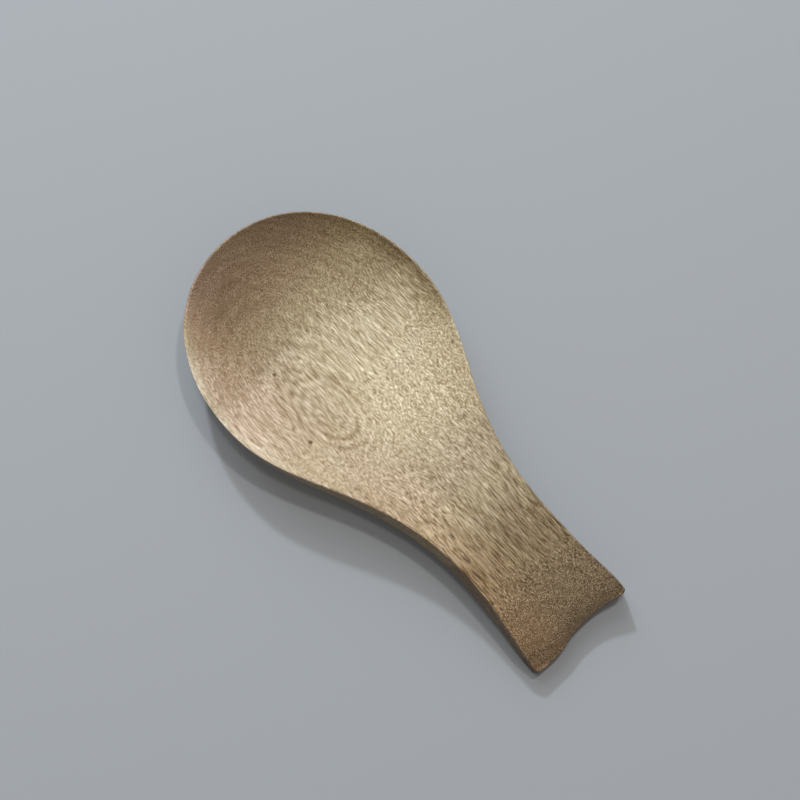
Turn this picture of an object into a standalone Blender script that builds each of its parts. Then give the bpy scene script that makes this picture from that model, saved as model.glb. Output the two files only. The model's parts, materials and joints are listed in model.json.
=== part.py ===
"""Wooden spoon rest, carved from one board of pale hardwood.

Metres, +Z up. The rest stands on the plane Z = 0, with the origin under the middle of its length.
+X runs along the axis, from the bowl to the forked end of the handle.

The body is worked in the order that a carver works: the plan outline is sawn first, then the
outline is drawn in, ring by ring, over the rim into the hollow, and down the sides to the
underside. It stands on a flat under the bowl and on a flat at the fork, and is arched between.
"""

import math

import bmesh
import bpy
from mathutils import Vector
from mathutils.geometry import interpolate_bezier

# Plan outline
LENGTH = 0.2150            # bowl end to the tips of the fork
BOWL_WIDTH = 0.1038        # across the widest place of the bowl
BOWL_REACH = 0.0605        # bowl end to the widest place
WAIST_WIDTH = 0.0422       # across the narrowest place of the handle
WAIST_FROM_END = 0.0415    # narrowest place to the tips of the fork
END_WIDTH = 0.0464         # across the fork
NOTCH_DEPTH = 0.0029       # how far the fork's hollow end is cut back
CORNER_ROUND = 0.0018      # plan radius at each tip of the fork

# Side profile
RIM_HEIGHT = 0.0220        # rim of the bowl above the table
END_HEIGHT = 0.0094        # top edge at the fork above the table
END_FALL = math.radians(14.0)   # how steeply the top edge falls at the fork
RIM_LEVEL_RUN = 0.0200     # the rim stays level this far past the widest place

# Hollow
BOWL_DEPTH = 0.0150        # rim down to the lowest place of the bowl
TROUGH_DEPTH = 0.0012      # shallow trough along the handle
SCOOP_RUN = 0.0860         # widest place to where the bowl has risen into the trough
LIP_WIDTH = 0.0014         # rim between the hollow and the outer wall
LIP_EASE = 0.0002          # drop where the lip is rubbed over into the hollow
EDGE_ROUND = 0.0006        # radius along the outer top edge
END_ROLL = 0.0020          # how far the top has rolled down at the middle of the notch

# Outer wall and underside
BOWL_TUCK = 0.0220         # how far the wall draws in under the bowl
HANDLE_TUCK = 0.0008       # how far it draws in under the handle
TUCK_RUN = 0.0800          # widest place to where the bowl's tuck has died out
HANDLE_THICKNESS = 0.0114  # top edge down to the underside, along the handle
BOWL_FOOT_RUN = 0.0140     # the flat under the bowl reaches this far past the widest place
ARCH_RUN = 0.0640          # from there to where the underside runs beside the top edge

# Fullness of the outline's curves, as shares of the run between two points
BOWL_END_FULLNESS = 0.542
WIDEST_FULLNESS = 0.636
SHOULDER_FULLNESS = 0.354
NECK_FULLNESS = 0.534
FLARE_FULLNESS = 0.60
TIP_FULLNESS = 0.20
NOTCH_FULLNESS = 0.62
QUARTER_CIRCLE = 0.5523    # the fullness that makes a Bezier quarter round

# Shape of the hollow and the wall
HOLLOW_POWER = 3.0         # 2 is a parabola across the bowl, more gives steeper sides
BOWL_WALL_POWER = 2.0      # 2 is a quarter ellipse down the wall
HANDLE_WALL_POWER = 6.0    # more keeps the wall upright until near the table
ROLL_POWER = 5.0           # more keeps the roll closer to the notch
ROLL_FACING = 0.7          # the roll dies out where the edge faces this little along the axis

# Points along each stretch of half the outline
BOWL_STEPS = 15
SHOULDER_STEPS = 22
FLARE_STEPS = 9
CORNER_STEPS = 4
NOTCH_STEPS = 7

# Rings, from the spine out over the hollow, down the wall, and back to the spine underneath
HOLLOW_RINGS = (0.0, 0.14, 0.28, 0.42, 0.55, 0.67, 0.77, 0.86, 0.93, 0.975, 1.0)
WALL_RINGS = (0.22, 0.44, 0.62, 0.77, 0.88, 0.96, 1.0)
UNDER_RINGS = (0.85, 0.6, 0.3, 0.0)
MERGE = 0.00002            # ring points closer than this are one point

# Finish: sanded, lightly oiled pale hardwood
WOOD_COLOUR = (0.45, 0.33, 0.20, 1.0)
WOOD_ROUGHNESS = 0.55
SMOOTH_ANGLE = math.radians(50.0)   # faces that meet more steeply keep a sharp edge

# Places along the axis
X_BOWL_END = -LENGTH / 2
X_WIDEST = X_BOWL_END + BOWL_REACH
X_TIPS = LENGTH / 2
X_WAIST = X_TIPS - WAIST_FROM_END
X_FAN = X_TIPS - END_WIDTH / 2   # rings at the fork fan out from here


def remove_all_objects():
    for old in list(bpy.data.objects):
        bpy.data.objects.remove(old, do_unlink=True)


def fade(place, start, end):
    """1 before start, 0 after end, and a smooth S between them."""
    share = min(max((place - start) / (end - start), 0.0), 1.0)
    return 1.0 - share * share * (3.0 - 2.0 * share)


def half_outline():
    """Points of the +Y half, from the bowl end to the middle of the notch."""
    half_bowl = BOWL_WIDTH / 2
    half_waist = WAIST_WIDTH / 2
    half_end = END_WIDTH / 2
    neck_run = X_WAIST - X_WIDEST
    flare_run = X_TIPS - CORNER_ROUND - X_WAIST
    prong = half_end - CORNER_ROUND
    pull = QUARTER_CIRCLE * CORNER_ROUND

    bowl_end = Vector((X_BOWL_END, 0, 0))
    widest = Vector((X_WIDEST, half_bowl, 0))
    waist = Vector((X_WAIST, half_waist, 0))
    side_end = Vector((X_TIPS - CORNER_ROUND, half_end, 0))
    tip = Vector((X_TIPS, prong, 0))
    notch = Vector((X_TIPS - NOTCH_DEPTH, 0, 0))
    along = Vector((1, 0, 0))
    across = Vector((0, 1, 0))

    stretches = (
        (bowl_end, across * (BOWL_END_FULLNESS * half_bowl),
         widest, along * (WIDEST_FULLNESS * BOWL_REACH), BOWL_STEPS),
        (widest, along * (SHOULDER_FULLNESS * neck_run),
         waist, along * (NECK_FULLNESS * neck_run), SHOULDER_STEPS),
        (waist, along * (FLARE_FULLNESS * flare_run),
         side_end, along * (FLARE_FULLNESS * flare_run / 2), FLARE_STEPS),
        (side_end, along * pull, tip, -across * pull, CORNER_STEPS),
        (tip, -across * (TIP_FULLNESS * prong),
         notch, -across * (NOTCH_FULLNESS * prong), NOTCH_STEPS),
    )
    points = [bowl_end]
    for start, leave, end, arrive, steps in stretches:
        points += interpolate_bezier(start, start + leave, end - arrive, end, steps + 1)[1:]
    return points


def full_outline():
    """Closed outline: the half, then its mirror image back to the bowl end."""
    half = half_outline()
    mirrored = [Vector((p.x, -p.y, 0)) for p in reversed(half[1:-1])]
    return half + mirrored


def edge_height(x):
    """Height of the top edge: level round the bowl, then falling to the fork."""
    level_end = X_WIDEST + RIM_LEVEL_RUN
    run = X_TIPS - level_end
    share = min(max((x - level_end) / run, 0.0), 1.0)
    fall = share * share * (3.0 - 2.0 * share)
    turn = share * share * (share - 1.0)
    return RIM_HEIGHT + (END_HEIGHT - RIM_HEIGHT) * fall - math.tan(END_FALL) * run * turn


def spine_depth(x):
    """Depth of the hollow on the axis, below the top edge."""
    return TROUGH_DEPTH + (BOWL_DEPTH - TROUGH_DEPTH) * fade(x, X_WIDEST, X_WIDEST + SCOOP_RUN)


def spine_point(outline_point):
    """The point of the axis that an outline point's ring is drawn in to."""
    return Vector((min(max(outline_point.x, X_WIDEST), X_FAN), 0, 0))


def drawn_in(outline_point, inset):
    """The outline point moved towards the spine."""
    inward = spine_point(outline_point) - outline_point
    return outline_point + inward.normalized() * inset


def faces_end(outline_point):
    """1 in the middle of the notch, where the edge faces along the axis, and 0 along the sides."""
    outward = (outline_point - spine_point(outline_point)).normalized()
    return 1.0 - fade(outward.x, ROLL_FACING, 1.0)


def top_height(outline_point, place, share):
    """Height of the top at a place in plan: share 0 is on the spine, 1 at the lip."""
    spine = spine_point(outline_point)
    across = share
    if place.x > X_FAN:   # the trough runs straight out through the notch
        across = min(abs(place.y) / (END_WIDTH / 2 - LIP_WIDTH), 1.0)
    dish = spine_depth(place.x) * (1.0 - across ** HOLLOW_POWER)
    reach = (place - spine).length / (outline_point - spine).length
    roll = END_ROLL * faces_end(outline_point) * reach ** ROLL_POWER
    return edge_height(place.x) - dish - roll


def hollow_point(outline_point, share):
    """A point of the hollow: share 0 is on the spine, 1 at the lip's inner edge."""
    place = spine_point(outline_point).lerp(drawn_in(outline_point, LIP_WIDTH), share)
    ease = LIP_EASE * (1.0 - faces_end(outline_point))
    place.z = top_height(outline_point, place, share) - ease
    return place


def lip_point(outline_point, inset, drop):
    """A point of the rim, at an inset from the outline and a drop from the top edge."""
    place = drawn_in(outline_point, inset)
    place.z = top_height(outline_point, place, 1.0) - drop
    return place


def underside_height(x):
    """Height of the underside: on the table under the bowl and at the fork, arched between."""
    foot_end = X_WIDEST + BOWL_FOOT_RUN
    beside_top = edge_height(x) - HANDLE_THICKNESS
    return max(beside_top, 0.0) * (1.0 - fade(x, foot_end, foot_end + ARCH_RUN))


def tuck_share(outline_point):
    """1 where the wall draws in as under the bowl, 0 where it does as under the handle."""
    return fade(outline_point.x, X_WIDEST, X_WIDEST + TUCK_RUN)


def tucked_in(outline_point, share):
    """The outline point drawn in by a share of its tuck."""
    tuck = HANDLE_TUCK + (BOWL_TUCK - HANDLE_TUCK) * tuck_share(outline_point)
    return drawn_in(outline_point, tuck * share)


def wall_point(outline_point, share):
    """A point of the outer wall: share 0 is under the edge's round, 1 at the underside."""
    bowl = tuck_share(outline_point)
    power = HANDLE_WALL_POWER + (BOWL_WALL_POWER - HANDLE_WALL_POWER) * bowl
    place = tucked_in(outline_point, 1.0 - math.sqrt(1.0 - share ** power))
    top = top_height(outline_point, outline_point, 1.0) - EDGE_ROUND
    place.z = top + (underside_height(place.x) - top) * share
    return place


def under_point(outline_point, share):
    """A point of the underside: share 1 is at the foot of the wall, 0 under the spine."""
    place = spine_point(outline_point).lerp(tucked_in(outline_point, 1.0), share)
    place.z = underside_height(place.x)
    return place


def body_rings(outline):
    """Rings of points from the spine, over the rim, and back to the spine underneath."""
    half_round = EDGE_ROUND * (1.0 - math.sqrt(0.5))
    rings = [[hollow_point(p, share) for p in outline] for share in HOLLOW_RINGS]
    rings.append([lip_point(p, (LIP_WIDTH + EDGE_ROUND) / 2, 0.0) for p in outline])
    rings.append([lip_point(p, EDGE_ROUND, 0.0) for p in outline])
    rings.append([lip_point(p, half_round, half_round) for p in outline])
    rings.append([lip_point(p, 0.0, EDGE_ROUND) for p in outline])
    rings += [[wall_point(p, share) for p in outline] for share in WALL_RINGS]
    rings += [[under_point(p, share) for p in outline] for share in UNDER_RINGS]
    return rings


def carve_body():
    """The spine's loop, extruded from ring to ring until it closes on the spine underneath."""
    rings = body_rings(full_outline())
    shape = bmesh.new()
    around = shape.verts.layers.int.new("around")
    loop = [shape.verts.new(point) for point in rings[0]]
    for place, vert in enumerate(loop):
        vert[around] = place
    edges = [shape.edges.new((a, b)) for a, b in zip(loop, loop[1:] + loop[:1])]
    for ring in rings[1:]:
        drawn = bmesh.ops.extrude_edge_only(shape, edges=edges)["geom"]
        edges = [part for part in drawn if isinstance(part, bmesh.types.BMEdge)]
        for vert in (part for part in drawn if isinstance(part, bmesh.types.BMVert)):
            vert.co = ring[vert[around]]
    bmesh.ops.remove_doubles(shape, verts=shape.verts, dist=MERGE)
    bmesh.ops.recalc_face_normals(shape, faces=shape.faces)
    return shape


def wood_material():
    """Sanded, lightly oiled pale hardwood."""
    material = bpy.data.materials.new("sanded_hardwood")
    material.use_nodes = True
    shader = material.node_tree.nodes["Principled BSDF"]
    shader.inputs["Base Color"].default_value = WOOD_COLOUR
    shader.inputs["Roughness"].default_value = WOOD_ROUGHNESS
    shader.inputs["Metallic"].default_value = 0.0
    return material


def main():
    remove_all_objects()
    parts = bpy.data.collections.new("wooden_spoon_rest")
    bpy.context.scene.collection.children.link(parts)

    shape = carve_body()
    mesh = bpy.data.meshes.new("carved_body")
    shape.to_mesh(mesh)
    shape.free()
    mesh.materials.append(wood_material())
    mesh.shade_smooth()
    mesh.set_sharp_from_angle(angle=SMOOTH_ANGLE)
    parts.objects.link(bpy.data.objects.new("carved_body", mesh))


main()
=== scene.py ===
# %% [markdown]
# # A carved wooden spoon rest
# The rest is one piece of pale, open-pored hardwood: a shallow bowl, a neck and a forked handle.
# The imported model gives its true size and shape. This lesson copies that shape, gives it the small
# unevenness of hand work, and then spends most of its effort on the wood.
#
# X runs along the board from the bowl to the fork, Y across it and Z up. The near side is -Y and the
# far side is +Y. Sizes are in millimetres unless a comment says otherwise. A value whose name ends in
# ALONG, ACROSS or UP is a stretch of the board: what it belongs to begins at the first number and is
# full at the second.

# %% Load the frame
import json
import math

import bmesh
import bpy
from mathutils import Matrix, Vector, noise

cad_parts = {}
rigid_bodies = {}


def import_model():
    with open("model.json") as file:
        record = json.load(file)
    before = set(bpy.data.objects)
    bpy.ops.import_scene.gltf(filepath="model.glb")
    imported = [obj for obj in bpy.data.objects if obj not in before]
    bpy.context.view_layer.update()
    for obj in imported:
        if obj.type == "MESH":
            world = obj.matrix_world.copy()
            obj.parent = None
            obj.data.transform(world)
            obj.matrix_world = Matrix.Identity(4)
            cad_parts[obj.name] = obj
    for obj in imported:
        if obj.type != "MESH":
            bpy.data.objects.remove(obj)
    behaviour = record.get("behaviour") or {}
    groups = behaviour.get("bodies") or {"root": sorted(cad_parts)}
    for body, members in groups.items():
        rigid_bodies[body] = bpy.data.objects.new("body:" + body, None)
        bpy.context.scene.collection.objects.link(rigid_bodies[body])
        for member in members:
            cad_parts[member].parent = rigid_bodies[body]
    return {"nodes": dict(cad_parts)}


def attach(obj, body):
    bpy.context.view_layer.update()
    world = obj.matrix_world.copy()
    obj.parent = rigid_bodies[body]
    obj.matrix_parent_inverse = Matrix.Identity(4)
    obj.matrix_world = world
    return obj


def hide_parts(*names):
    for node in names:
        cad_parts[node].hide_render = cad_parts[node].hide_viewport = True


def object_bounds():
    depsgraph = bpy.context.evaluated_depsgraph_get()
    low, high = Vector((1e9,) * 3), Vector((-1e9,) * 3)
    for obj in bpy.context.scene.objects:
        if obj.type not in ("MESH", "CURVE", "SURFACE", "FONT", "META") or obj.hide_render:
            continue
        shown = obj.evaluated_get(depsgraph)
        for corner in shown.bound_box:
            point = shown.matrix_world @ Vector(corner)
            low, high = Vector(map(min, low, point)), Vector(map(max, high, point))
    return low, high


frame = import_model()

cad_low, cad_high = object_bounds()
MM = 0.001                      # the frame is in metres
RIM = cad_high.z / MM           # height of the bowl's rim
print("CAD box in mm:", [round(side / MM, 1) for side in cad_high - cad_low])

# %% [markdown]
# ## The carved body
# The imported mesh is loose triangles, so a copy is merged first. Pairs of triangles then become
# four-sided faces again, because a subdivision surface follows those more smoothly.

# %% Copy and merge the body
MERGE_GAP = 0.02                # points closer than this are one point
PAIR_ANGLE = math.radians(60)   # how sharply two triangles may meet and still become one face

body = bpy.data.objects.new("spoon_rest_body", frame["nodes"]["carved_body"].data.copy())
bpy.context.scene.collection.objects.link(body)

shape = bmesh.new()
shape.from_mesh(body.data)
bmesh.ops.remove_doubles(shape, verts=shape.verts, dist=MERGE_GAP * MM)
bmesh.ops.join_triangles(shape, faces=shape.faces, angle_face_threshold=PAIR_ANGLE,
                         angle_shape_threshold=PAIR_ANGLE)
bmesh.ops.recalc_face_normals(shape, faces=shape.faces)
shape.normal_update()
print("merged body:", len(shape.verts), "points,", len(shape.faces), "faces")

# %% [markdown]
# ## The carver's hand
# A hand-carved piece isn't symmetrical. It could be sculpted with brushes, but strokes can't be read
# or changed later. Here each trait is a smooth move of the points that fades in over a stretch of the
# board, and one function gives that fading.

# %% Fade in over a stretch
NEAR_ACROSS = (-5, -30)         # from the axis to the near side


def rise(value, stretch):
    """0 before a stretch, 1 after it, and a smooth S along it."""
    start, end = stretch
    share = min(max((value - start) / (end - start), 0.0), 1.0)
    return share * share * (3.0 - 2.0 * share)


print("halfway along a stretch:", rise(5, (0, 10)))

# %% [markdown]
# ## The bowl
# The gouge left the far wall of the bowl steeper at its top than the near one, and sandpaper rubbed the
# near rim into a broad lip. Both change only heights inside the hollow: a power bends the far wall, and
# a shelf flattens the top of the near one.

# %% Bowl
HOLLOW_DEPTH = 15.2             # from the rim to the lowest place of the hollow
HOLLOW_ALONG = (-15, -32)       # from the neck into the bowl
STEEP_POWER = 0.72              # less than 1 makes the far wall steeper at its top
STEEP_ACROSS = (-5, 25)
LIP_SHELF = 1.2                 # how much of the near wall's top the lip flattens
SHELF_ALONG = (-102, -85)


def carved_height(x, y, z, facing):
    """The height of a point after the gouge and the sandpaper, which only change the hollow."""
    drop = RIM - z
    if facing.z <= 0 or not 0 < drop < HOLLOW_DEPTH:
        return z
    in_bowl = rise(x, HOLLOW_ALONG)
    shelf = LIP_SHELF * rise(y, NEAR_ACROSS) * in_bowl * rise(x, SHELF_ALONG)
    power = 1 - (1 - STEEP_POWER) * rise(y, STEEP_ACROSS) * in_bowl
    drop = HOLLOW_DEPTH * (drop / HOLLOW_DEPTH) ** power
    return RIM - drop * drop / (drop + shelf)


print("rim height in mm:", round(RIM, 1))

# %% [markdown]
# ## The fork
# The handle rises slightly to its end and is turned, so that the far prong stands higher. The near
# prong is fuller beside the notch and rubbed down at its tip. Heights are scaled rather than moved,
# so that the foot stays on the table.

# %% Fork
HALF_FORK = 23.2                # from the axis to a prong's side
FORK_ALONG = (72, 107)
FORK_TWIST = 0.12               # share that the far prong is higher and the near one lower
HANDLE_LIFT = 0.08              # share that the handle stands higher towards its end
LIFT_ALONG = (30, 90)
PRONG_DROP = 0.20               # share that the near prong is rubbed down at its tip
DROP_ALONG, DROP_ACROSS = (96, 107), (-3, -18)
FORK_REACH = 0.3                # how far the fork's end is drawn out
FORK_SKEW = 0.2                 # how much more on the far prong, and less on the near one
NOTCH_FILL = 0.7                # how much shallower the notch is
NOTCH_ACROSS = ((14, 0), (-14, -6))     # from each side of the notch to its middle
PRONG_FILL = 2.0                # how much fuller the near prong is beside the notch
PRONG_ACROSS = ((-3, -11), (-22, -12))  # from each side of that place to its middle
FILL_ALONG = (90, 103)


def lifted_height(x, y, z):
    """The height of a point after the handle's lift, the fork's twist and the near prong's drop."""
    z *= 1 + HANDLE_LIFT * rise(x, LIFT_ALONG) + FORK_TWIST * rise(x, FORK_ALONG) * y / HALF_FORK
    return z * (1 - PRONG_DROP * rise(x, DROP_ALONG) * rise(y, DROP_ACROSS))


def drawn_out(x, y):
    """Where a point lies along the board after the fork is drawn out and its notch filled."""
    x += rise(x, FORK_ALONG) * (FORK_REACH + FORK_SKEW * y / HALF_FORK)
    fill = 0.0
    for depth, (one_side, other_side) in ((NOTCH_FILL, NOTCH_ACROSS), (PRONG_FILL, PRONG_ACROSS)):
        fill += depth * rise(y, one_side) * rise(y, other_side)
    return x + fill * rise(x, FILL_ALONG)


print("fork's end in mm:", round(drawn_out(cad_high.x / MM, HALF_FORK), 1))

# %% [markdown]
# ## The sides
# The sides of the bowl and the far side of the handle bulge a little, the near prong flares, and the
# saw left the handle's walls leaning out towards the foot. All of these are moves across the board.

# %% Sides
BOWL_SWELL = 0.5                # how far each side of the bowl stands out
SWELL_ACROSS = (10, 48)         # on both sides of the axis
SWELL_ALONG = ((-95, -65), (-15, -45))  # from each end of the swelling to its middle
FAR_SWELL = 0.7                 # how far the far side of the handle stands out
FAR_ACROSS, FAR_ALONG = (0, 20), (20, 70)
FORK_FLARE = 2.7                # how far the near prong stands out
FLARE_ALONG = (50, 97)
SIDE_LEAN = 1.4                 # how much further out each side of the handle is at its foot
LEAN_DEPTH = (0.5, 8.0)         # below the top, from where it starts to lean to where it is all out
LEAN_ALONG = (-25, 20)
LEAN_END_ALONG = (65, 100)      # where the lean goes again on the near side
LEAN_FACING = (0.0, 0.5)        # how far a surface looks sideways, from none of the lean to all of it


def lean_share(x, y, depth, facing):
    """How much of the lean a point of the handle's side gets."""
    lean = rise(depth, LEAN_DEPTH) * rise(x, LEAN_ALONG) * rise(abs(facing.y), LEAN_FACING)
    return lean * (1 - rise(y, NEAR_ACROSS) * rise(x, LEAN_END_ALONG))


def swollen(x, y, lean, near):
    """Where a point lies across the board after the sides swell and lean and the near prong flares."""
    start, end = SWELL_ALONG
    y += math.copysign(BOWL_SWELL * rise(abs(y), SWELL_ACROSS) * rise(x, start) * rise(x, end), y)
    y += FAR_SWELL * rise(y, FAR_ACROSS) * rise(x, FAR_ALONG)
    return y + math.copysign(SIDE_LEAN * lean, y) - FORK_FLARE * near * rise(x, FLARE_ALONG)


near_prong = swollen(cad_high.x / MM, -HALF_FORK, 0.0, rise(-HALF_FORK, NEAR_ACROSS))
print("near prong's side in mm:", round(near_prong, 1))

# %% [markdown]
# ## All moves together
# The gouge also leaves slow waves that sandpaper doesn't quite take out. They are a noise along the
# surface's normals, and they stop short of the table. How far a point lies below the top is needed for
# the lean, so the height of the top is read off first, in steps along the board.

# %% Work the body
WAVE_HEIGHT = 0.15
WAVE_SIZE = 20.0                # from wave to wave
WAVE_UP = (0.5, 4.0)            # above the table
TOP_STEP = 4.0                  # along the board, from one reading of the top to the next

top_at = {}
for point in shape.verts:
    x, y, z = point.co / MM
    step = round(x / TOP_STEP)
    top_at[step] = max(top_at.get(step, 0.0), z)

moved = {}
for point in shape.verts:
    x, y, z = point.co / MM
    facing = point.normal
    near = rise(y, NEAR_ACROSS)
    lean = lean_share(x, y, top_at[round(x / TOP_STEP)] - z, facing)
    wave = noise.noise(Vector((x, y, z)) / WAVE_SIZE) * WAVE_HEIGHT * rise(z, WAVE_UP)
    z = lifted_height(x, y, carved_height(x, y, z, facing))
    x = drawn_out(x, y)
    y = swollen(x, y, lean, near)
    moved[point] = Vector((x, y, z)) * MM + facing * wave * MM

furthest = max((goal - point.co).length for point, goal in moved.items())
for point, goal in moved.items():
    point.co = goal
shape.to_mesh(body.data)
shape.free()
print("furthest move in mm:", round(furthest / MM, 1))

# %% [markdown]
# ## A smooth surface
# Two levels of Catmull-Clark subdivision turn the facets into the flowing surface that a rasp and
# sandpaper leave. A modifier does this without touching the worked mesh.

# %% Subdivide
SMOOTH_LEVELS = 2

smooth = body.modifiers.new("sanded smooth", "SUBSURF")
smooth.levels = SMOOTH_LEVELS
smooth.render_levels = SMOOTH_LEVELS
body.data.shade_smooth()
body.data.materials.clear()
print("faces before smoothing:", len(body.data.polygons))

# %% [markdown]
# ## Tools for materials
# Colours are written as the sRGB hex values that a colour picker shows, and one function turns them
# into the linear values that the shader wants. One small function adds a node of any kind.

# %% Node tools
FROM = ("From Min", "From Max")     # the sockets of a Map Range node that take a stretch
TO = ("To Min", "To Max")           # and those that take what it is turned into
SMOOTH = "SMOOTHSTEP"


def linear(hex_colour):
    """An sRGB hex colour as linear red, green, blue and alpha."""
    parts = [int(hex_colour[i:i + 2], 16) / 255 for i in (1, 3, 5)]
    return tuple(p / 12.92 if p <= 0.04045 else ((p + 0.055) / 1.055) ** 2.4 for p in parts) + (1.0,)


def add_node(tree, kind, inputs=None, **settings):
    """Adds a shader node. An input is named, numbered, or a pair of names that takes a pair of values.
    A value is a number, a socket, or a node whose first output is meant."""
    made = tree.nodes.new("ShaderNode" + kind)
    for name, value in settings.items():
        setattr(made, name, value)
    for names, values in (inputs or {}).items():
        pairs = zip(names, values) if isinstance(names, tuple) else [(names, values)]
        for name, value in pairs:
            if isinstance(value, bpy.types.Node):
                value = value.outputs[0]
            if isinstance(value, bpy.types.NodeSocket):
                tree.links.new(value, made.inputs[name])
            else:
                made.inputs[name].default_value = value
    return made


def new_material(name):
    """A node material and its Principled BSDF."""
    material = bpy.data.materials.new(name)
    material.use_nodes = True
    return material, material.node_tree.nodes["Principled BSDF"]


print("mid grey in linear light:", round(linear("#808080")[0], 3))

# %% [markdown]
# ## The wood: where the grain runs
# The wood is an open-pored hardwood, sanded and lightly oiled: to the eye a satin brown with dark
# dashes and a sheen across the fibres. Wood is a solid, so its pattern is worked out in three
# dimensions, and the carved surface simply cuts through it. The fibres run along X. A slow wander
# bends them a little, and they climb along the bowl, turn down along the handle and up at the fork.

# %% Grain coordinates
WANDER_SIZE = 45.0              # from one gentle bend of the fibres to the next
WANDER = (0.0, 4.0, 0.8)        # how far they bend along, across and through the board
GRAIN_RISE = 0.06               # how much they climb for each mm along the board
GRAIN_TURNS = (                 # where they turn, over how far, and how much lower for each mm
    (25.0, 30.0, 0.17),
    (82.0, 15.0, -0.4),
)
NOISE_MEAN = 0.5                # a noise runs from 0 to 1, about this mean

wood, wood_shader = new_material("sanded_open_pored_hardwood")
tree = wood.node_tree
position = add_node(tree, "TexCoord").outputs["Object"]
board = add_node(tree, "VectorMath", {0: position, "Scale": 1 / MM}, operation="SCALE")
bends = add_node(tree, "TexNoise", {"Vector": board, "Scale": 1 / WANDER_SIZE, "Detail": 1.0})
centred = add_node(tree, "VectorMath", {0: bends.outputs["Color"], 1: (NOISE_MEAN,) * 3},
                   operation="SUBTRACT")
wandered = add_node(tree, "VectorMath", {0: centred, 1: WANDER, 2: board}, operation="MULTIPLY_ADD")
along, across, up = add_node(tree, "SeparateXYZ", {0: wandered}).outputs
level = add_node(tree, "Math", {0: along, 1: -GRAIN_RISE, 2: up}, operation="MULTIPLY_ADD")
for turn_place, turn_length, slope in GRAIN_TURNS:
    past_turn = add_node(tree, "Math", {0: along, 1: turn_place}, operation="SUBTRACT")
    turned = add_node(tree, "Math", {0: past_turn, 1: 0.0, 2: turn_length}, operation="SMOOTH_MAX")
    level = add_node(tree, "Math", {0: turned, 1: slope, 2: level}, operation="MULTIPLY_ADD")
grain = add_node(tree, "CombineXYZ", {"X": along, "Y": across, "Z": level})
print("turns of the grain:", len(GRAIN_TURNS))

# %% [markdown]
# ## Fibres and pores
# Between the pores lie lighter and darker fibres: a noise that is stretched along the grain. The pores
# are cut vessels. Each is one cell of a stretched Voronoi pattern, so it shows as a dash where the
# surface runs along the grain and as a dot where it cuts across, just as in the bowl.

# %% Fibres and pores
# Real fibres are some 0.02 mm wide and real pores 0.2 mm. Those wouldn't show at this distance, so
# bundles of fibres and larger pores are drawn. Sizes are along, across and through the board.
FIBRE_SIZE = (8.0, 0.17, 0.26)
BAND_SIZE = (40.0, 5.0, 2.5)    # broad streaks
FLECK_SIZE = 0.34               # short cut ends of fibres, the same each way
PORE_SIZE = (9.0, 0.8, 0.36)    # there is one pore in each cell of this size
PORE_EDGE = (0.38, 0.19)        # shares of its cell, from a pore's edge to where it is fully dark

fibre_space = add_node(tree, "VectorMath", {0: grain, 1: FIBRE_SIZE}, operation="DIVIDE")
fibres = add_node(tree, "TexNoise", {"Vector": fibre_space, "Scale": 1.0, "Detail": 2.5, "Roughness": 0.6})
band_space = add_node(tree, "VectorMath", {0: grain, 1: BAND_SIZE}, operation="DIVIDE")
bands = add_node(tree, "TexNoise", {"Vector": band_space, "Scale": 1.0, "Detail": 2.0})
flecks = add_node(tree, "TexNoise", {"Vector": board, "Scale": 1 / FLECK_SIZE, "Detail": 1.0})
pore_space = add_node(tree, "VectorMath", {0: grain, 1: PORE_SIZE}, operation="DIVIDE")
cells = add_node(tree, "TexVoronoi", {"Vector": pore_space, "Scale": 1.0})
pores = add_node(tree, "MapRange", {"Value": cells.outputs["Distance"], FROM: PORE_EDGE},
                 interpolation_type=SMOOTH)
print("pore cell in mm:", PORE_SIZE)

# %% [markdown]
# ## Growth rings
# The rings are shells round the heart of the tree, which lay below this board and a little to one
# side. Where the bowl cuts down through the shells they show as faint nested ovals. A sine of the
# distance from the heart draws them.

# %% Growth rings
HEART = (0.0, -30.0, -66.0)     # a point on the heart of the tree
HEART_RISE = 0.13               # how much the heart climbs for each mm along the board
RING_WIDTH = 3.2                # from one ring to the next
RING_BEND = 2.2                 # how uneven the rings are

from_heart = add_node(tree, "VectorMath", {0: grain, 1: HEART}, operation="SUBTRACT")
heart_along, heart_across, heart_up = add_node(tree, "SeparateXYZ", {0: from_heart}).outputs
height = add_node(tree, "Math", {0: heart_along, 1: -HEART_RISE, 2: heart_up}, operation="MULTIPLY_ADD")
end_grain = add_node(tree, "CombineXYZ", {"Y": heart_across, "Z": height})
radius = add_node(tree, "VectorMath", {0: end_grain}, operation="LENGTH").outputs["Value"]
uneven_radius = add_node(tree, "Math", {0: bands, 1: RING_BEND, 2: radius}, operation="MULTIPLY_ADD")
ring_phase = add_node(tree, "Math", {0: uneven_radius, 1: math.tau / RING_WIDTH}, operation="MULTIPLY")
rings = add_node(tree, "Math", {0: ring_phase}, operation="SINE")
print("ring width in mm:", RING_WIDTH)

# %% [markdown]
# ## Figure
# Where a small branch began, the fibres flow round it and the surface shows nested ovals round a quiet
# heart. Each is a sine of the distance from a place on the board, made uneven by the broad streaks.

# %% Figure
FIGURES = (                     # along, across, from oval to oval, reach, strength, quietness, shade
    (-27.0, -15.0, 3.2, 19.0, 0.20, 0.55, 0.10),
    (-78.0, -12.0, 6.0, 22.0, 0.10, 0.10, 0.0),
    (93.0, -15.0, 2.2, 8.0, 0.13, 0.50, 0.0),
)
OVAL = (0.65, 1.0, 0.0)         # the ovals are longer along the grain and don't change with depth
OVAL_BEND = 2.0                 # how uneven they are, in oval widths
OVAL_HEART, OVAL_FULL = 0.1, 0.5    # shares of the reach, where they begin and where they are strongest


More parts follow.
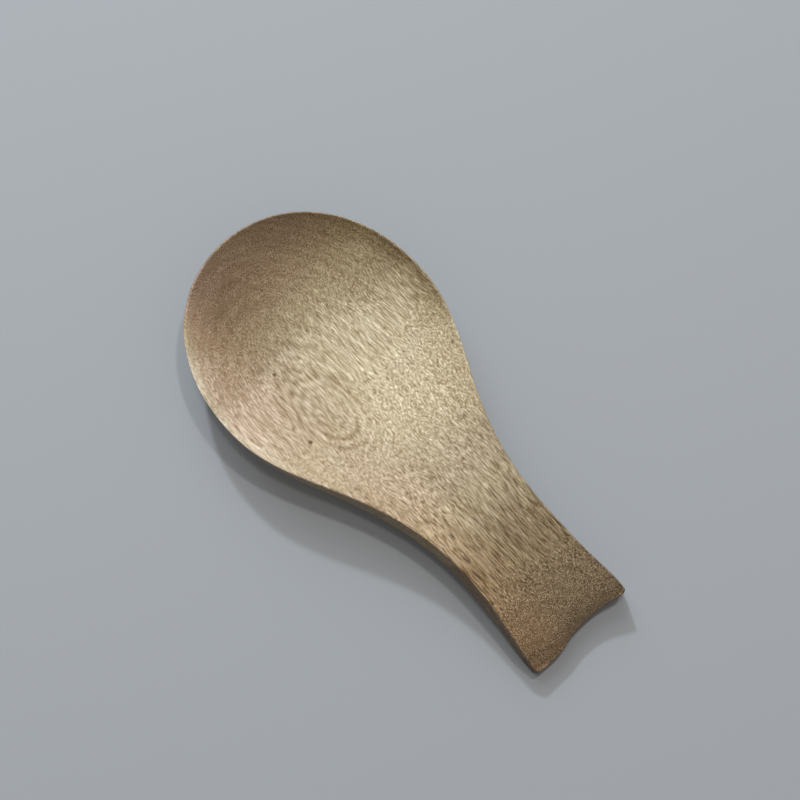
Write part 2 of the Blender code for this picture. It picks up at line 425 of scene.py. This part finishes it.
def away_from(x, y, stretch):
    """How far the surface is from a place on the board, seen from above."""
    offset = add_node(tree, "VectorMath", {0: board, 1: (x, y, 0.0)}, operation="SUBTRACT")
    flat = add_node(tree, "VectorMath", {0: offset, 1: stretch}, operation="MULTIPLY")
    return add_node(tree, "VectorMath", {0: flat}, operation="LENGTH").outputs["Value"]


ovals, calm = 0.0, 1.0
for x, y, spacing, reach, strong, still, dim in FIGURES:
    away = away_from(x, y, OVAL)
    uneven_away = add_node(tree, "Math", {0: bands, 1: OVAL_BEND * spacing, 2: away},
                           operation="MULTIPLY_ADD")
    phase = add_node(tree, "Math", {0: uneven_away, 1: math.tau / spacing}, operation="MULTIPLY")
    swing = add_node(tree, "Math", {0: phase}, operation="SINE")
    inside = add_node(tree, "MapRange", {"Value": away, FROM: (reach, OVAL_FULL * reach)},
                      interpolation_type=SMOOTH)
    past_heart = add_node(tree, "MapRange",
                          {"Value": away, FROM: (OVAL_HEART * reach, OVAL_FULL * reach), "To Max": strong},
                          interpolation_type=SMOOTH)
    strength = add_node(tree, "Math", {0: inside, 1: past_heart}, operation="MULTIPLY")
    quiet = add_node(tree, "Math", {0: inside, 1: -still, 2: 1.0}, operation="MULTIPLY_ADD")
    calm = add_node(tree, "Math", {0: quiet, 1: calm}, operation="MULTIPLY")
    shaded = add_node(tree, "Math", {0: inside, 1: -dim, 2: ovals}, operation="MULTIPLY_ADD")
    ovals = add_node(tree, "Math", {0: swing, 1: strength, 2: shaded}, operation="MULTIPLY_ADD")
print("figures:", len(FIGURES))

# %% [markdown]
# ## Pin knots
# Two buds that never grew are dark dots in the bowl. A distance draws each one.

# %% Pin knots
PIN_KNOTS = (                   # along, across, radius
    (-22.5, -29.9, 0.85),
    (-54.0, -21.2, 0.7),
)
ROUND = (1.0, 1.0, 0.0)         # a dot is round and doesn't change with depth
DOT_OUTER, DOT_INNER = 1.4, 0.5     # shares of the radius, where a dot begins and where it is fully dark

dots = 0.0
for x, y, size in PIN_KNOTS:
    dot = add_node(tree, "MapRange",
                   {"Value": away_from(x, y, ROUND), FROM: (DOT_OUTER * size, DOT_INNER * size)},
                   interpolation_type=SMOOTH)
    dots = add_node(tree, "Math", {0: dot, 1: dots}, operation="MAXIMUM")
print("pin knots:", len(PIN_KNOTS))

# %% [markdown]
# ## Tones along the board, with painted shade and sheen
# The board is tan in the middle and browner towards both ends, where the carved surface cuts the
# fibres and drinks in more oil. The ramp also holds painted shade and sheen: both ends are darker still
# where the surface turns away from the window, and the flat middle is lighter with a painted sheen. A
# colour ramp along the board gives these tones. At the bowl's end they bend round like the rim, so
# there the ramp reads a place that grows with the square of Y.

# %% Tones along the board
TONE_BEND = 88.0                # how gently they bend: Y squared over this is added to the place
BEND_ALONG = (-56, -76)
# Painted shade: on the far side the dark of the bowl's end wall reaches further.
PAINTED_SHADE_SHIFT = 5.0                # how much further the dark end of the bowl reaches on the far side
SHIFT_ACROSS = (12, 34)
# The ends of this ramp hold painted shade and its middle a painted sheen, on top of the wood's tone.
LENGTH_TONES_AND_SHADE = (                # along the board, colour
    (-107, "#816c52"),
    (-92, "#89745a"),
    (-80, "#8f7b5d"),
    (-68, "#9a8966"),
    (-48, "#bdaf8f"),
    (-10, "#c0b18f"),
    (24, "#ad9d7f"),
    (38, "#ab9c7c"),
    (62, "#8e7c5c"),
    (92, "#816e52"),
    (107, "#705e45"),
)

across_squared = add_node(tree, "Math", {0: across, 1: 2.0}, operation="POWER")
bend = add_node(tree, "MapRange", {"Value": along, FROM: BEND_ALONG, "To Max": 1 / TONE_BEND},
                interpolation_type=SMOOTH)
bent_place = add_node(tree, "Math", {0: across_squared, 1: bend, 2: along}, operation="MULTIPLY_ADD")
shift = add_node(tree, "MapRange", {"Value": across, FROM: SHIFT_ACROSS, "To Max": PAINTED_SHADE_SHIFT},
                 interpolation_type=SMOOTH)
tone_place = add_node(tree, "Math", {0: bent_place, 1: shift}, operation="SUBTRACT")

first, last = LENGTH_TONES_AND_SHADE[0][0], LENGTH_TONES_AND_SHADE[-1][0]
tone_share = add_node(tree, "MapRange", {"Value": tone_place, FROM: (first, last)})
tones = add_node(tree, "ValToRGB", {0: tone_share})
ramp = tones.color_ramp
ramp.interpolation = "EASE"
for x, tone in LENGTH_TONES_AND_SHADE[1:-1]:
    ramp.elements.new((x - first) / (last - first))
for stop, (x, tone) in zip(ramp.elements, LENGTH_TONES_AND_SHADE):
    stop.color = linear(tone)
print("tones:", len(ramp.elements))

# %% [markdown]
# ## The near side
# The near side is a little pinker, most of all on the near wall of the bowl, but not on the rubbed lip
# above that wall. Tints are shares of red, green and blue that multiply the tones, so that the tones
# stay the one place where colours are written.

# %% Near side
PLAIN = (1.0, 1.0, 1.0)
PINK_BOWL = (0.89, 0.84, 0.86)      # the near side of the bowl, against the far side
PINK_HANDLE = (1.20, 1.10, 1.06)    # the near side of the handle
PINK_ACROSS, HANDLE_ALONG = (5, -25), (-10, 50)
LIP_UP = (RIM - 1.6, RIM - 1.0)
LIP_ACROSS, LIP_ALONG = (-22, -36), (-8, -20)
BLUSH = (0.99, 0.89, 0.96)          # the near wall of the bowl
WALL_ACROSS, BLUSH_ALONG = (-20, -34), (-18, -52)

near_side = add_node(tree, "MapRange", {"Value": across, FROM: PINK_ACROSS}, interpolation_type=SMOOTH)
on_handle = add_node(tree, "MapRange", {"Value": along, FROM: HANDLE_ALONG}, interpolation_type=SMOOTH)
pink = add_node(tree, "Mix", {"Factor": on_handle, "A": PINK_BOWL, "B": PINK_HANDLE}, data_type="VECTOR")
tint = add_node(tree, "Mix", {"Factor": near_side, "A": PLAIN, "B": pink.outputs["Result"]},
                data_type="VECTOR")

lip_height = add_node(tree, "MapRange", {"Value": up, FROM: LIP_UP}, interpolation_type=SMOOTH)
lip_side = add_node(tree, "MapRange", {"Value": across, FROM: LIP_ACROSS}, interpolation_type=SMOOTH)
lip_start = add_node(tree, "MapRange", {"Value": along, FROM: LIP_ALONG}, interpolation_type=SMOOTH)
lip_edge = add_node(tree, "Math", {0: lip_height, 1: lip_side}, operation="MULTIPLY")
lip = add_node(tree, "Math", {0: lip_edge, 1: lip_start}, operation="MULTIPLY")

near_wall = add_node(tree, "MapRange", {"Value": across, FROM: WALL_ACROSS}, interpolation_type=SMOOTH)
past_neck = add_node(tree, "MapRange", {"Value": along, FROM: BLUSH_ALONG}, interpolation_type=SMOOTH)
bowl_wall = add_node(tree, "Math", {0: near_wall, 1: past_neck}, operation="MULTIPLY")
below_lip = add_node(tree, "Math", {0: 1.0, 1: lip}, operation="SUBTRACT")
blushing = add_node(tree, "Math", {0: bowl_wall, 1: below_lip}, operation="MULTIPLY")
blush = add_node(tree, "Mix", {"Factor": blushing, "A": tint.outputs["Result"], "B": BLUSH},
                 data_type="VECTOR")
tinted = add_node(tree, "VectorMath", {0: tones, 1: blush.outputs["Result"]}, operation="MULTIPLY")
print("nodes so far:", len(tree.nodes))

# %% [markdown]
# ## Quiet places
# The fine pattern doesn't show equally everywhere. It is calmer inside the figure, on the near side
# before the neck, and at the bowl's end. One value, which multiplies the pattern later, holds all three.

# %% Quiet places
NECK_SMOOTH = 0.5               # how much weaker the pattern is on the near side before the neck
NECK_ALONG = (-45, -22)
END_SMOOTH = 0.25               # and at the bowl's end
END_ALONG = (-55, -78)

to_neck = add_node(tree, "MapRange", {"Value": along, FROM: NECK_ALONG}, interpolation_type=SMOOTH)
neck_wall = add_node(tree, "Math", {0: near_wall, 1: to_neck}, operation="MULTIPLY")
neck_quiet = add_node(tree, "Math", {0: neck_wall, 1: -NECK_SMOOTH, 2: 1.0}, operation="MULTIPLY_ADD")
end_quiet = add_node(tree, "MapRange", {"Value": along, FROM: END_ALONG, TO: (1.0, 1 - END_SMOOTH)},
                     interpolation_type=SMOOTH)
both_quiet = add_node(tree, "Math", {0: neck_quiet, 1: end_quiet}, operation="MULTIPLY")
calm_all = add_node(tree, "Math", {0: calm, 1: both_quiet}, operation="MULTIPLY")
print("pattern left before the neck:", 1 - NECK_SMOOTH, "and at the bowl's end:", 1 - END_SMOOTH)

# %% [markdown]
# ## Light and dark fibres
# The fibre noise is stretched about its mean until most places are either a light or a dark fibre. How
# sharply they part differs from streak to streak and grows along the handle. On the lip and the near
# wall, sandpaper has blurred them.

# %% Light and dark fibres
DARK_FIBRE = (0.48, 0.385, 0.23)    # shares of the tone
LIGHT_FIBRE = (1.50, 1.585, 1.77)
CONTRAST = (14.0, 20.0)         # how sharply they part in the bowl, and at the handle's end
CONTRAST_ALONG = (0, 70)
PATCHINESS = 2.0                # how much that differs from streak to streak
LIP_SMOOTH = 0.7                # how much less they part on the rubbed lip
WALL_SMOOTH = 0.2               # and on the near wall below it

contrast = add_node(tree, "MapRange", {"Value": along, FROM: CONTRAST_ALONG, TO: CONTRAST})
patchy = add_node(tree, "Math", {0: bands, 1: PATCHINESS, 2: 1 - NOISE_MEAN * PATCHINESS},
                  operation="MULTIPLY_ADD")
rubbed_lip = add_node(tree, "Math", {0: lip, 1: -LIP_SMOOTH, 2: 1.0}, operation="MULTIPLY_ADD")
rubbed = add_node(tree, "Math", {0: blushing, 1: -WALL_SMOOTH, 2: rubbed_lip}, operation="MULTIPLY_ADD")
patchy_rubbed = add_node(tree, "Math", {0: patchy, 1: rubbed}, operation="MULTIPLY")
calmed = add_node(tree, "Math", {0: patchy_rubbed, 1: calm_all}, operation="MULTIPLY")
parting = add_node(tree, "Math", {0: contrast, 1: calmed}, operation="MULTIPLY")
from_mean = add_node(tree, "Math", {0: fibres, 1: NOISE_MEAN}, operation="SUBTRACT")
fibre_share = add_node(tree, "Math", {0: from_mean, 1: parting, 2: NOISE_MEAN},
                       operation="MULTIPLY_ADD", use_clamp=True)
fibre_tint = add_node(tree, "Mix", {"Factor": fibre_share, "A": DARK_FIBRE, "B": LIGHT_FIBRE},
                      data_type="VECTOR")
streaked = add_node(tree, "VectorMath", {0: tinted, 1: fibre_tint.outputs["Result"]}, operation="MULTIPLY")
print("fibre contrast:", CONTRAST)

# %% [markdown]
# ## The rim, with painted shade and highlight
# The far rim is darker with painted shade, where the bowl's far wall turns away from the window. The
# near rim and the lip are lighter: partly worn by handling and sanding, partly a painted highlight where
# the flat lip faces the lamps overhead. The rim is lighter again at the bowl's end. Everything from here
# on is a number that makes a place lighter or darker, and these numbers are added up before they touch
# the colour.

# %% Rim
# Painted shade darkens the far rim. The near rim is lighter with wear and a painted highlight.
RIM_SIDE_WEAR_AND_SHADE = (-0.30, 0.12)        # how much lighter the rim is on the far side, and on the near side
RIM_UP, RIM_ALONG, RIM_ACROSS = (14, 20), (-15, -35), (30, -30)
RIM_END = 0.24                  # how much lighter again it is at the bowl's end
RIM_END_ALONG = (-72, -92)
# The lip's extra lightness is partly wear and partly a painted highlight.
LIP_WEAR_AND_HIGHLIGHT = 0.22                 # how much lighter again the rubbed lip is

high_up = add_node(tree, "MapRange", {"Value": up, FROM: RIM_UP}, interpolation_type=SMOOTH)
at_bowl = add_node(tree, "MapRange", {"Value": along, FROM: RIM_ALONG}, interpolation_type=SMOOTH)
at_rim = add_node(tree, "Math", {0: high_up, 1: at_bowl}, operation="MULTIPLY")
side_wear_and_shade = add_node(tree, "MapRange", {"Value": across, FROM: RIM_ACROSS, TO: RIM_SIDE_WEAR_AND_SHADE})
end_tone = add_node(tree, "MapRange", {"Value": along, FROM: RIM_END_ALONG, "To Max": RIM_END},
                    interpolation_type=SMOOTH)
rim_tone = add_node(tree, "Math", {0: side_wear_and_shade, 1: end_tone}, operation="ADD")
lip_wear_and_painted_highlight = add_node(tree, "Math", {0: lip, 1: LIP_WEAR_AND_HIGHLIGHT}, operation="MULTIPLY")
rim_wear_and_painted_light = add_node(tree, "Math", {0: at_rim, 1: rim_tone, 2: lip_wear_and_painted_highlight}, operation="MULTIPLY_ADD")
print("rim, far and near:", RIM_SIDE_WEAR_AND_SHADE)

# %% [markdown]
# ## Specks, rings and knots
# Flecks and pores show more strongly on the handle, where the tool ran against the grain and tore it.
# The streaks, the figure, the rings and the knots join them in the same sum.

# %% Specks, rings and knots
BAND_CONTRAST = 0.22            # how much the broad streaks differ
FLECK_CONTRAST = 2.8            # how much the flecks differ in the bowl
FORK_FLECKS = 2.1               # how many times more they do at the fork
FLECKS_ALONG = (50, 85)
PORE_DARKNESS = 0.30            # how much darker the pores are in the bowl
HANDLE_PORES = 3.6              # how many times more they are on the handle
PORES_ALONG = (10, 50)
RING_CONTRAST = 0.07
KNOT_DARKNESS = 1.0

band_part = add_node(tree, "Math", {0: bands, 1: BAND_CONTRAST, 2: -NOISE_MEAN * BAND_CONTRAST},
                     operation="MULTIPLY_ADD")
fleck_part = add_node(tree, "Math", {0: flecks, 1: FLECK_CONTRAST, 2: -NOISE_MEAN * FLECK_CONTRAST},
                      operation="MULTIPLY_ADD")
fleck_gain = add_node(tree, "MapRange", {"Value": along, FROM: FLECKS_ALONG, TO: (1.0, FORK_FLECKS)})
pore_gain = add_node(tree, "MapRange", {"Value": along, FROM: PORES_ALONG,
                                        TO: (-PORE_DARKNESS, -PORE_DARKNESS * HANDLE_PORES)})
pore_part = add_node(tree, "Math", {0: pores, 1: pore_gain}, operation="MULTIPLY")
specks = add_node(tree, "Math", {0: fleck_part, 1: fleck_gain, 2: pore_part}, operation="MULTIPLY_ADD")
mottled = add_node(tree, "Math", {0: specks, 1: calm_all, 2: band_part}, operation="MULTIPLY_ADD")
figured = add_node(tree, "Math", {0: ovals, 1: mottled}, operation="ADD")
knotted = add_node(tree, "Math", {0: dots, 1: -KNOT_DARKNESS, 2: figured}, operation="MULTIPLY_ADD")
ringed = add_node(tree, "Math", {0: rings, 1: RING_CONTRAST, 2: knotted}, operation="MULTIPLY_ADD")
lighter = add_node(tree, "Math", {0: rim_wear_and_painted_light, 1: ringed}, operation="ADD")
print("nodes so far:", len(tree.nodes))

# %% [markdown]
# ## The wood's colour
# The sum makes the streaked colour lighter or darker. Blue fades fastest, as it does in real brown
# wood, so that the dark specks stay brown. Surfaces that face sideways get painted shade: the sawn outer
# walls are darker than the carved top, and the surface's own normal tells them apart.

# %% Wood colour
FADE = (0.89, 1.07, 1.42)       # how fast red, green and blue fade
DARKEST = (0.22, 0.17, 0.10)    # no pore or knot is darker than these shares
WALL_PAINTED_SHADE = 0.53                # the outer walls, against the top
WALL_FACING = (0.25, 0.7)       # how far a surface looks up, from the walls to the top

shade = add_node(tree, "VectorMath", {0: lighter, 1: FADE, 2: PLAIN}, operation="MULTIPLY_ADD")
shade_kept = add_node(tree, "VectorMath", {0: shade, 1: DARKEST}, operation="MAXIMUM")
top_colour = add_node(tree, "VectorMath", {0: streaked, 1: shade_kept}, operation="MULTIPLY")
normal = add_node(tree, "NewGeometry").outputs["Normal"]
facing_up = add_node(tree, "SeparateXYZ", {0: normal}).outputs["Z"]
# Painted shade: surfaces that face sideways, such as the outer walls, are darker than the top.
wall = add_node(tree, "MapRange", {"Value": facing_up, FROM: WALL_FACING, TO: (WALL_PAINTED_SHADE, 1.0)},
                interpolation_type=SMOOTH)
wood_colour = add_node(tree, "VectorMath", {0: top_colour, "Scale": wall}, operation="SCALE")
tree.links.new(wood_colour.outputs[0], wood_shader.inputs["Base Color"])
print("outer walls, against the top:", WALL_PAINTED_SHADE)

# %% [markdown]
# ## The wood's surface
# Sanded and lightly oiled wood has a satin sheen that is drawn out across the fibres, so the shader is
# slightly anisotropic. The pores stay open, so they are dents in the bump.

# %% Wood surface
SATIN = {"Roughness": 0.50, "Anisotropic": 0.6, "Specular IOR Level": 0.6}
FIBRE_WAY = (1.0, 0.0, 0.0)     # the fibres run along X
DENT_DEPTH = 0.12
DENT_STRENGTH = 0.25            # sandpaper leaves this share of it
PORE_DENT = 0.6                 # how deep a pore is, against the difference between two fibres

for name, value in SATIN.items():
    wood_shader.inputs[name].default_value = value
across_fibres = add_node(tree, "VectorMath", {0: normal, 1: FIBRE_WAY}, operation="CROSS_PRODUCT")
tree.links.new(across_fibres.outputs[0], wood_shader.inputs["Tangent"])
dents = add_node(tree, "Math", {0: pores, 1: -PORE_DENT, 2: fibres}, operation="MULTIPLY_ADD")
bump = add_node(tree, "Bump", {"Height": dents, "Strength": DENT_STRENGTH, "Distance": DENT_DEPTH * MM})
tree.links.new(bump.outputs[0], wood_shader.inputs["Normal"])
body.data.materials.append(wood)
print("wood nodes:", len(tree.nodes))

# %% [markdown]
# ## The floor
# The rest lies on pale, matt paper, which gives the eye a plain ground and shows the shadow. A large
# plane is enough.

# %% Floor
FLOOR_SIZE = 6.0                # metres
PAPER_COLOUR = "#a3a8ad"
MATT = {"Roughness": 0.9, "Specular IOR Level": 0.2}

bpy.ops.mesh.primitive_plane_add(size=FLOOR_SIZE)
floor = bpy.context.object
floor.name = "paper_floor"
paper, paper_shader = new_material("matt_pale_paper")
paper_shader.inputs["Base Color"].default_value = linear(PAPER_COLOUR)
for name, value in MATT.items():
    paper_shader.inputs[name].default_value = value
floor.data.materials.append(paper)
print("floor side in metres:", FLOOR_SIZE)

# %% [markdown]
# ## The light
# Light from a window beyond the bowl and from lamps overhead gives nested, soft shadows. Four square
# area lamps copy that. Each is set by the share of the full light that it gives the floor, so that
# together with the room's own light a colour renders about as written.

# %% Light
COOL = (0.94, 1.0, 1.06)
WARM = (1.06, 1.0, 0.94)
LAMPS = (                       # name, direction, distance and size in metres, share of the light, colour
    ("window_key", (-1.30, 0.49, 1.0), 2.2, 0.13, 0.24, COOL),
    ("window_glow", (-1.25, 0.46, 1.0), 2.2, 1.70, 0.25, COOL),
    ("ceiling_lamp", (-0.12, 0.31, 1.0), 2.4, 0.14, 0.17, WARM),
    ("ceiling_glow", (-0.14, 0.0, 1.0), 2.2, 0.20, 0.10, WARM),
)
ROOM_LIGHT = 0.29               # share of the light that comes from all round

for name, towards, distance, size, share, lamp_colour in LAMPS:
    direction = Vector(towards).normalized()
    lamp_data = bpy.data.lights.new(name, "AREA")
    lamp_data.size = size
    lamp_data.color = lamp_colour
    lamp_data.energy = share * math.pi ** 2 * distance ** 2 / direction.z
    lamp = bpy.data.objects.new(name, lamp_data)
    lamp.location = direction * distance
    lamp.rotation_mode = "QUATERNION"
    lamp.rotation_quaternion = direction.to_track_quat("Z", "Y")
    bpy.context.scene.collection.objects.link(lamp)

world = bpy.data.worlds.new("room_light")
world.use_nodes = True
room = world.node_tree.nodes["Background"]
room.inputs["Color"].default_value = WARM + (1.0,)
room.inputs["Strength"].default_value = ROOM_LIGHT
bpy.context.scene.world = world
print("lamps:", len(LAMPS))

# %% [markdown]
# ## The camera
# The rest is seen from above, from a little to the near side, and lies aslant in the picture. Three
# vectors say where the camera is, where it looks and which way is up, and from them come its axes.

# %% Camera
CAMERA_PLACE = Vector((0.0634, -0.1287, 0.6486))    # metres
CAMERA_AIM = Vector((-0.0126, 0.0120, 0.0))         # metres
CAMERA_UP = Vector((-0.723, 0.653, 0.226))
LENS, SENSOR = 72.0, 36.0

camera_data = bpy.data.cameras.new("camera")
camera_data.lens = LENS
camera_data.sensor_width = SENSOR
camera = bpy.data.objects.new("camera", camera_data)
back = (CAMERA_PLACE - CAMERA_AIM).normalized()
right = CAMERA_UP.cross(back).normalized()
axes = Matrix((right, back.cross(right), back)).transposed()
camera.matrix_world = Matrix.Translation(CAMERA_PLACE) @ axes.to_4x4()
bpy.context.scene.collection.objects.link(camera)
bpy.context.scene.camera = camera
bpy.context.scene.view_settings.view_transform = "Standard"
print("camera distance in mm:", round((CAMERA_PLACE - CAMERA_AIM).length / MM))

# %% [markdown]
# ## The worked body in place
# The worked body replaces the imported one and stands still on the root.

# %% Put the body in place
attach(body, "root")
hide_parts("carved_body")
